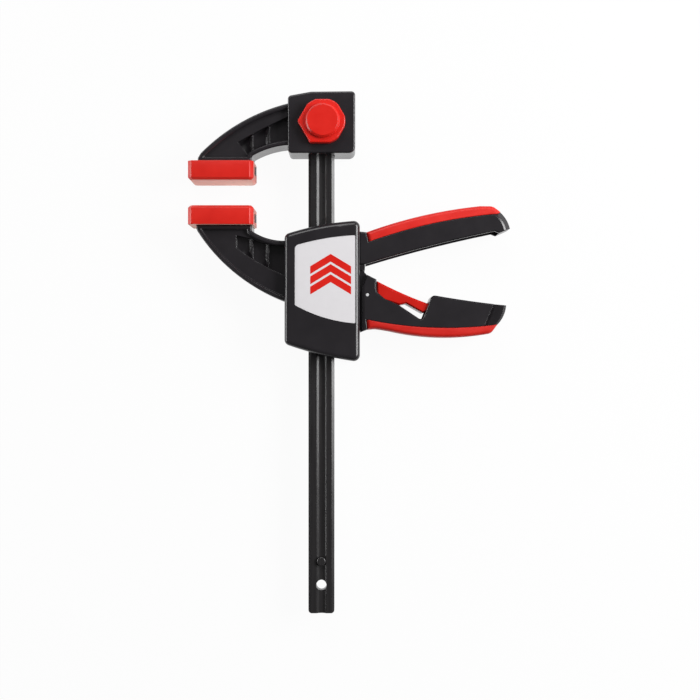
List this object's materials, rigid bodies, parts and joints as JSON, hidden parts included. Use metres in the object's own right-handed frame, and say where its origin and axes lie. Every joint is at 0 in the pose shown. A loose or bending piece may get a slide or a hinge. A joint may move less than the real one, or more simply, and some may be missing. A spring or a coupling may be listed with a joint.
{
  "type": "quick release bar clamp",
  "caption": "One-handed bar clamp: a fixed jaw and a sliding jaw on a flat rail, with a squeeze handle, release lever and soft red pads.",
  "frame": {"origin": "middle of the fixed jaw's clamping face, at the middle of the rail's thickness", "axes": "+Y along the rail from the moving jaw to the fixed jaw, +X from the jaws to the handles, +Z out of the front cover; the clamp lies on its rear cover"},
  "size_m": [0.2096, 0.341, 0.037],
  "materials": {
    "black_bar": "satin",
    "black_plastic": "fine moulded grain",
    "red_pad": "satin",
    "red_plastic": "satin",
    "soft_red": "matt",
    "label_face": "satin",
    "steel": "ground",
    "spring_steel": "drawn",
    "black_screw": "satin"
  },
  "bodies": {
    "rail_assembly": {"rail": "black_bar", "rail_stop_pin": "black_bar", "fixed_jaw": "black_plastic", "fixed_jaw_pad": "red_pad", "knob_ring": "spring_steel"},
    "knob": {"knob": "red_plastic", "lock_pin_spring": "spring_steel"},
    "lock_pin": {"lock_pin": "steel"},
    "carriage": {"moving_jaw": "black_plastic", "moving_jaw_pad": "red_pad", "upper_grip": "soft_red", "front_cover": "black_plastic", "rear_cover": "black_plastic", "cover_screws": "black_screw", "label": "label_face", "handle_pivot_pin": "steel", "rocker_pin": "steel", "drive_spring": "spring_steel", "brake_spring": "spring_steel"},
    "lower_handle": {"lower_handle": "black_plastic", "lower_grip": "soft_red", "release_lever_pin": "steel"},
    "release_lever": {"release_lever": "red_plastic"},
    "push_rod": {"push_rod": "steel"},
    "rocker": {"release_rocker": "steel"},
    "drive_plate": {"drive_plate": "steel"},
    "brake_plate": {"brake_plate": "steel"}
  },
  "joints": [
    {"name": "jaw_slide", "type": "slide", "parent": "rail_assembly", "child": "carriage", "axis": [0, 1, 0], "range_m": [-0.131, 0.0162]},
    {"name": "handle_squeeze", "type": "hinge", "parent": "carriage", "child": "lower_handle", "pos_m": [0.0858, -0.0715, 0], "axis": [0, 0, 1], "range_deg": [0, 22], "stiffness_Nm_per_rad": 2, "springref_deg": -6.88},
    {"name": "drive_plate_slide", "type": "slide", "parent": "carriage", "child": "drive_plate", "axis": [0, -1, 0], "range_m": [0, 0.00272], "deforming": ["drive_spring"]},
    {"name": "release_press", "type": "hinge", "parent": "lower_handle", "child": "release_lever", "pos_m": [0.0959, -0.0745, 0], "axis": [0, 0, -1], "range_deg": [0, 5], "stiffness_Nm_per_rad": 0.6, "springref_deg": -5.73},
    {"name": "push_rod_slide", "type": "slide", "parent": "carriage", "child": "push_rod", "axis": [0, 1, 0], "range_m": [0, 0.00089]},
    {"name": "rocker_turn", "type": "hinge", "parent": "carriage", "child": "rocker", "pos_m": [0.0825, -0.03989, 0], "axis": [0, 0, 1], "range_deg": [0, 15.4]},
    {"name": "brake_plate_tilt", "type": "hinge", "parent": "carriage", "child": "brake_plate", "pos_m": [0.05144, -0.0426, 0], "axis": [0, 0, -1], "range_deg": [0, 3.01], "deforming": ["brake_spring"]},
    {"name": "knob_turn", "type": "hinge", "parent": "rail_assembly", "child": "knob", "pos_m": [0.0668, 0.0374, 0], "axis": [0, 0, 1], "range_deg": [0, 90]},
    {"name": "lock_pin_slide", "type": "slide", "parent": "rail_assembly", "child": "lock_pin", "axis": [0, 0, 1], "range_m": [0, 0.00361], "deforming": ["lock_pin_spring"]}
  ],
  "couplings": [
    {"joint": "drive_plate_slide", "follows": "handle_squeeze", "m_per_rad": 0.007058},
    {"joint": "push_rod_slide", "follows": "release_press", "m_per_rad": 0.0101},
    {"joint": "rocker_turn", "follows": "release_press", "ratio": 3.0606},
    {"joint": "brake_plate_tilt", "follows": "release_press", "ratio": 0.6},
    {"joint": "lock_pin_slide", "follows": "knob_turn", "m_per_rad": 0.0022918}
  ]
}
